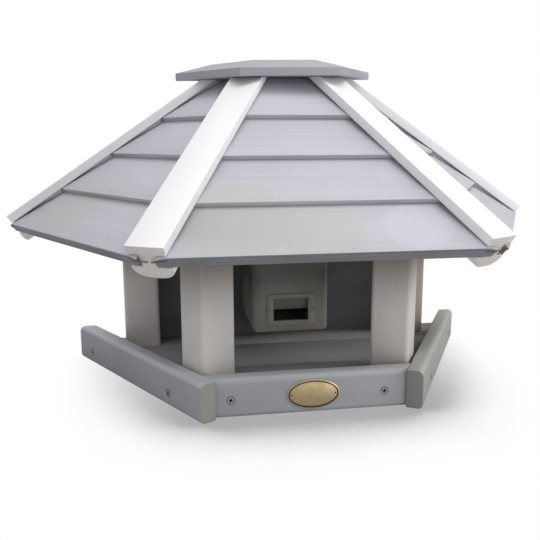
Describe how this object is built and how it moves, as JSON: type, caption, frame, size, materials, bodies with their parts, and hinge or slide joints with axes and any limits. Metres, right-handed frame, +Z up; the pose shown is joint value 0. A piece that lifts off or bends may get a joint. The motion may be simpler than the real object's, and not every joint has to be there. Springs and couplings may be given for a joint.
{
  "type": "half-hexagonal wooden bird feeder",
  "caption": "Half-hexagonal, flat-backed wooden bird feeder with a hipped roof of lapped boards, a low railed floor, a back wall, a plastic seed silo and a lift-off roof cap.",
  "frame": {"origin": "on the ground, midway between the left and right posts", "axes": "+Z up, -Y towards the front, +X towards the right-hand hip"},
  "size_m": [0.661, 0.3175, 0.3753],
  "materials": {
    "grey_wood": "grey stain on softwood, faint grain, satin",
    "floor_wood": "grey stain on softwood, matt",
    "white_wood": "white paint on softwood, satin",
    "silo_plastic": "milky white moulded plastic, satin",
    "plate_brass": "brushed brass, blank"
  },
  "bodies": {
    "feeder": {"floor_board_1": "floor_wood", "floor_board_2": "floor_wood", "floor_board_3": "floor_wood", "rail_front": "grey_wood", "rail_front_left": "grey_wood", "rail_front_right": "grey_wood", "post_left": "white_wood", "post_right": "white_wood", "post_front_left": "white_wood", "post_front_right": "white_wood", "back_wall": "floor_wood", "hip_left": "white_wood", "hip_right": "white_wood", "hip_front_left": "white_wood", "hip_front_right": "white_wood", "roof_course_1": "grey_wood", "roof_course_2": "grey_wood", "roof_course_3": "grey_wood", "roof_course_4": "grey_wood", "silo": "silo_plastic", "silo_frame": "silo_plastic", "silo_chute": "silo_plastic", "name_plate": "plate_brass"},
    "cap": {"roof_cap": "grey_wood", "cap_block": "floor_wood"}
  },
  "joints": [
    {"name": "cap_lift", "type": "slide", "parent": "feeder", "child": "cap", "axis": [0, 0, 1], "range_m": [0, 0.15]}
  ]
}
